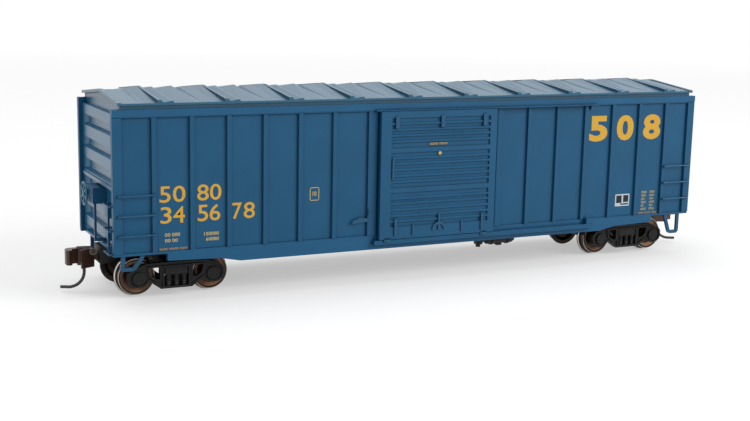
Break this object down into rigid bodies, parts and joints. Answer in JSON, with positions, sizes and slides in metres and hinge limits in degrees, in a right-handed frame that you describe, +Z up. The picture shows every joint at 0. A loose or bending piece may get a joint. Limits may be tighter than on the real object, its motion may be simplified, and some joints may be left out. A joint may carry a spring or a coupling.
{
  "type": "scale model railroad boxcar",
  "caption": "Model steel boxcar with ribbed sides, sliding corrugated doors, panelled roof, swivelling trucks, metal wheels and swinging couplers.",
  "frame": {"origin": "floor level under the middle of the car, at the lowest point of the wheel flanges", "axes": "+X along the car with the brake wheel at the -X end, +Z up, +Y across"},
  "size_m": [0.2002, 0.042, 0.0543],
  "materials": {
    "body_paint": "satin",
    "roof_metal": "satin",
    "underframe_black": "matt",
    "steel_plate": "satin",
    "screw_steel": "satin",
    "coupler_metal": "satin",
    "truck_black": "matt",
    "axle_black": "matt",
    "wheel_metal": "satin"
  },
  "bodies": {
    "car": {"side_panels_front": "body_paint", "side_panels_back": "body_paint", "side_sill_front": "body_paint", "side_sill_back": "body_paint", "side_plate_front": "body_paint", "side_plate_back": "body_paint", "door_tracks_front": "body_paint", "door_tracks_back": "body_paint", "end_wall_plain": "body_paint", "end_wall_brake": "body_paint", "side_rungs": "body_paint", "end_rungs": "body_paint", "stirrup_steps": "body_paint", "brake_wheel": "body_paint", "brake_housing": "body_paint", "roof": "roof_metal", "floor": "underframe_black", "underframe_pan": "underframe_black", "centre_sill": "underframe_black", "cross_bearers": "underframe_black", "body_bolsters": "underframe_black", "air_reservoir": "underframe_black", "brake_cylinder": "underframe_black", "control_valve": "underframe_black", "coupler_boxes": "underframe_black", "weight": "steel_plate", "kingpins": "screw_steel"},
    "door_front": {"door_front": "body_paint", "door_fittings_front": "body_paint"},
    "door_back": {"door_back": "body_paint", "door_fittings_back": "body_paint"},
    "coupler_brake": {"coupler_brake": "coupler_metal"},
    "coupler_plain": {"coupler_plain": "coupler_metal"},
    "truck_brake": {"side_frames_brake": "truck_black", "bolster_brake": "truck_black", "springs_brake": "truck_black", "brake_beams_brake": "truck_black"},
    "wheelset_brake_outer": {"axle_brake_outer": "axle_black", "wheels_brake_outer": "wheel_metal"},
    "wheelset_brake_inner": {"axle_brake_inner": "axle_black", "wheels_brake_inner": "wheel_metal"},
    "truck_plain": {"side_frames_plain": "truck_black", "bolster_plain": "truck_black", "springs_plain": "truck_black", "brake_beams_plain": "truck_black"},
    "wheelset_plain_outer": {"axle_plain_outer": "axle_black", "wheels_plain_outer": "wheel_metal"},
    "wheelset_plain_inner": {"axle_plain_inner": "axle_black", "wheels_plain_inner": "wheel_metal"}
  },
  "joints": [
    {"name": "door_front_slide", "type": "slide", "parent": "car", "child": "door_front", "axis": [1, 0, 0], "range_m": [0, 0.0328]},
    {"name": "door_back_slide", "type": "slide", "parent": "car", "child": "door_back", "axis": [-1, 0, 0], "range_m": [0, 0.0328]},
    {"name": "coupler_brake_swing", "type": "hinge", "parent": "car", "child": "coupler_brake", "pos_m": [-0.086, 0, 0.0096], "axis": [0, 0, 1], "range_deg": [-8, 8], "stiffness_Nm_per_rad": 0.0002},
    {"name": "truck_brake_swivel", "type": "hinge", "parent": "car", "child": "truck_brake", "pos_m": [-0.073, 0, 0.0094], "axis": [0, 0, 1], "range_deg": [-11, 11]},
    {"name": "wheelset_brake_outer_roll", "type": "hinge", "parent": "truck_brake", "child": "wheelset_brake_outer", "pos_m": [-0.083, 0, 0.00545], "axis": [0, 1, 0], "continuous": true},
    {"name": "wheelset_brake_inner_roll", "type": "hinge", "parent": "truck_brake", "child": "wheelset_brake_inner", "pos_m": [-0.063, 0, 0.00545], "axis": [0, 1, 0], "continuous": true},
    {"name": "coupler_plain_swing", "type": "hinge", "parent": "car", "child": "coupler_plain", "pos_m": [0.086, 0, 0.0096], "axis": [0, 0, 1], "range_deg": [-8, 8], "stiffness_Nm_per_rad": 0.0002},
    {"name": "truck_plain_swivel", "type": "hinge", "parent": "car", "child": "truck_plain", "pos_m": [0.073, 0, 0.0094], "axis": [0, 0, 1], "range_deg": [-11, 11]},
    {"name": "wheelset_plain_outer_roll", "type": "hinge", "parent": "truck_plain", "child": "wheelset_plain_outer", "pos_m": [0.083, 0, 0.00545], "axis": [0, 1, 0], "continuous": true},
    {"name": "wheelset_plain_inner_roll", "type": "hinge", "parent": "truck_plain", "child": "wheelset_plain_inner", "pos_m": [0.063, 0, 0.00545], "axis": [0, 1, 0], "continuous": true}
  ]
}
